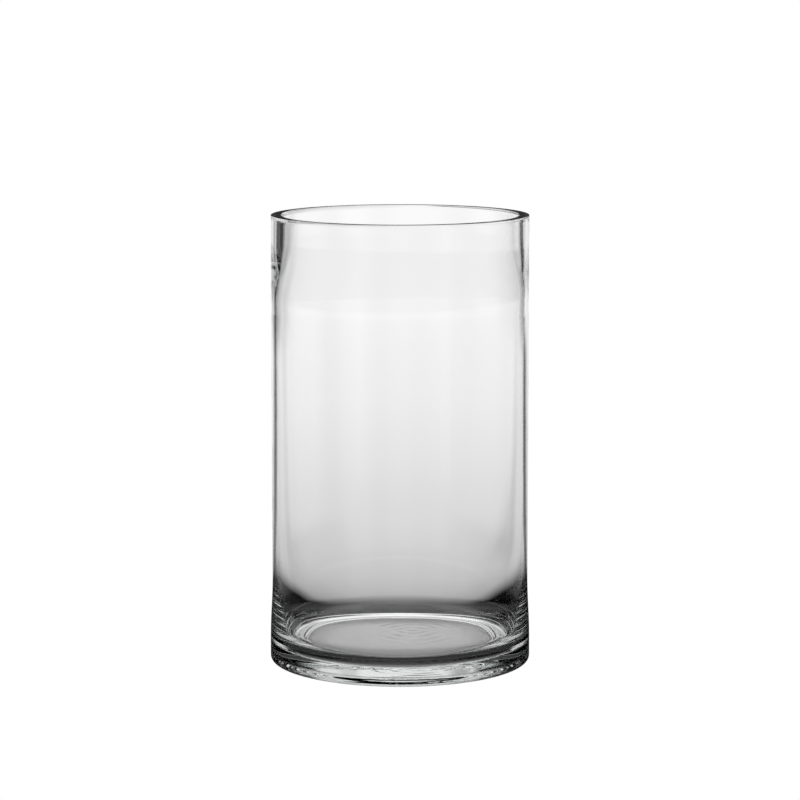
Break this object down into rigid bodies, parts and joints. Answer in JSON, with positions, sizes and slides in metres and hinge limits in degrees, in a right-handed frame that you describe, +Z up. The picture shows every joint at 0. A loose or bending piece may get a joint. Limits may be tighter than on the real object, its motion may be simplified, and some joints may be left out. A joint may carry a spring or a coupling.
{
  "type": "cylinder vase",
  "caption": "Tall round cylinder vase in clear glass, with a thick flat rim, thin straight walls, a heavy curved-in base and a recessed foot.",
  "frame": {"origin": "centre of the foot ring's resting plane, on the vase's axis", "axes": "+Z up along the vase's axis of revolution, from the foot to the mouth; +X and +Y are free, because the body is round"},
  "size_m": [0.2034, 0.2034, 0.35],
  "materials": {
    "clear_glass": "fire-polished clear glass, smooth inside and out"
  },
  "bodies": {
    "root": {"glass_body": "clear_glass"}
  },
  "joints": []
}
